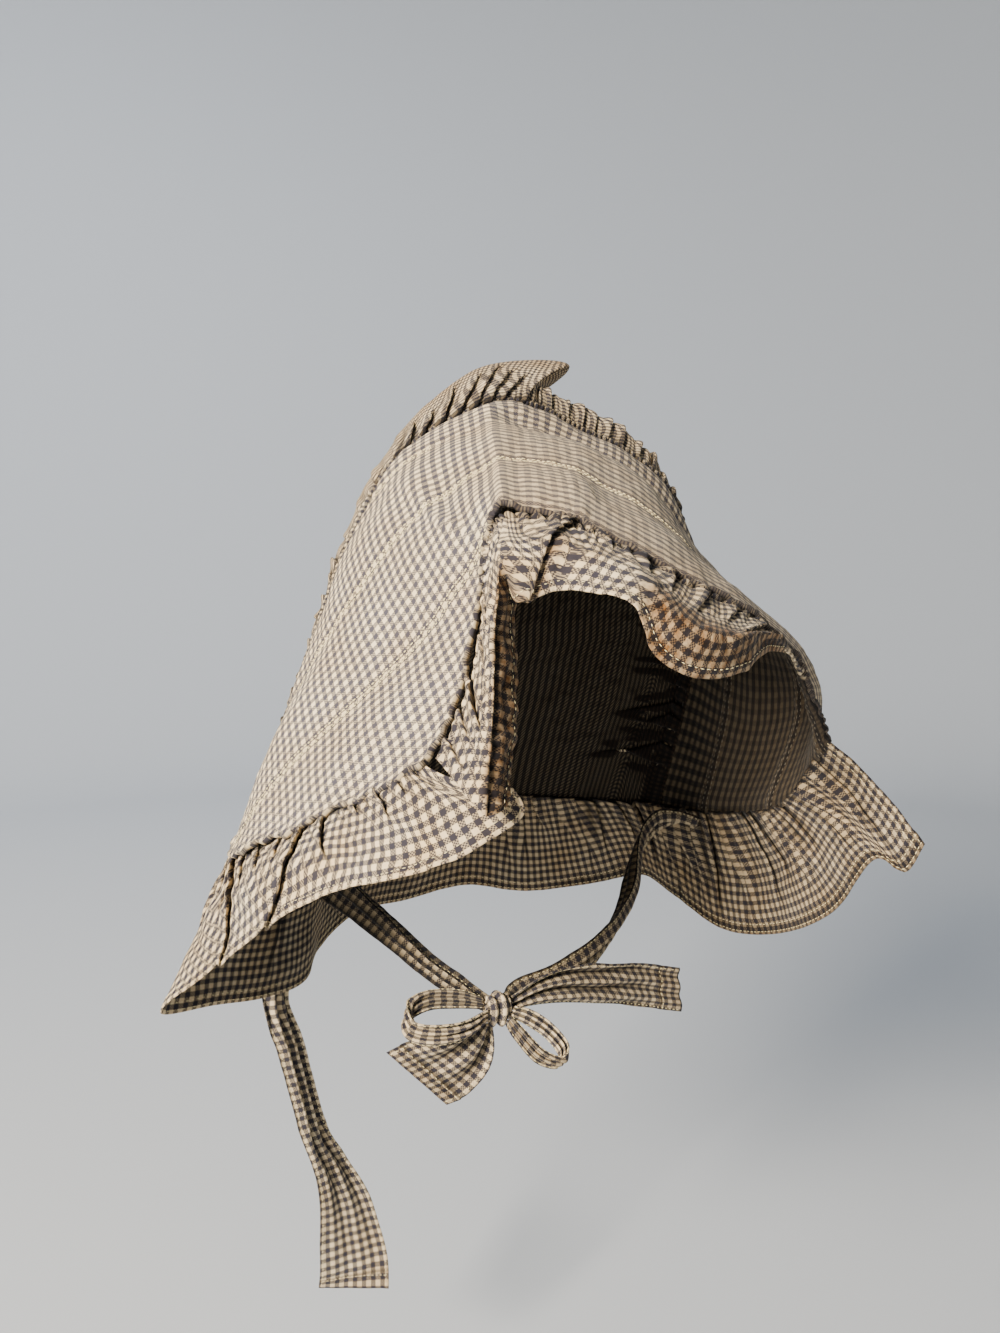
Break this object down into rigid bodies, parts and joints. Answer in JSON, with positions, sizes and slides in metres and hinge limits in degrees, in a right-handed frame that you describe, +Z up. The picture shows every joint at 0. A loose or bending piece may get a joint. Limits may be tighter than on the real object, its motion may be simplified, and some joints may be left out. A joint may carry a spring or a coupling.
{
  "type": "prairie bonnet",
  "caption": "Gingham cotton sunbonnet with a stiff quilted brim folded at a ridge, gathered crown, front frill, neck curtain, tied chin bow and one loose back tie.",
  "frame": {"origin": "the place inside the crown where the bonnet sits on the top of the wearer's head", "axes": "+Z up, -Y the way the bonnet faces, +X the wearer's left"},
  "size_m": [0.3126, 0.3103, 0.5464],
  "materials": {
    "quilted_gingham": "matte woven cotton, quilted",
    "gathered_gingham": "matte woven cotton, gathered",
    "tie_gingham": "matte woven cotton, hemmed"
  },
  "bodies": {
    "root": {"brim": "quilted_gingham", "crown": "gathered_gingham", "crown_heading": "gathered_gingham", "front_frill": "gathered_gingham", "neck_curtain": "gathered_gingham", "chin_tie_right": "tie_gingham", "chin_tie_left": "tie_gingham", "bow_knot": "tie_gingham", "bow_loop_right": "tie_gingham", "bow_loop_left": "tie_gingham", "bow_tail_right": "tie_gingham", "bow_tail_left": "tie_gingham", "back_tie": "tie_gingham"}
  },
  "joints": []
}
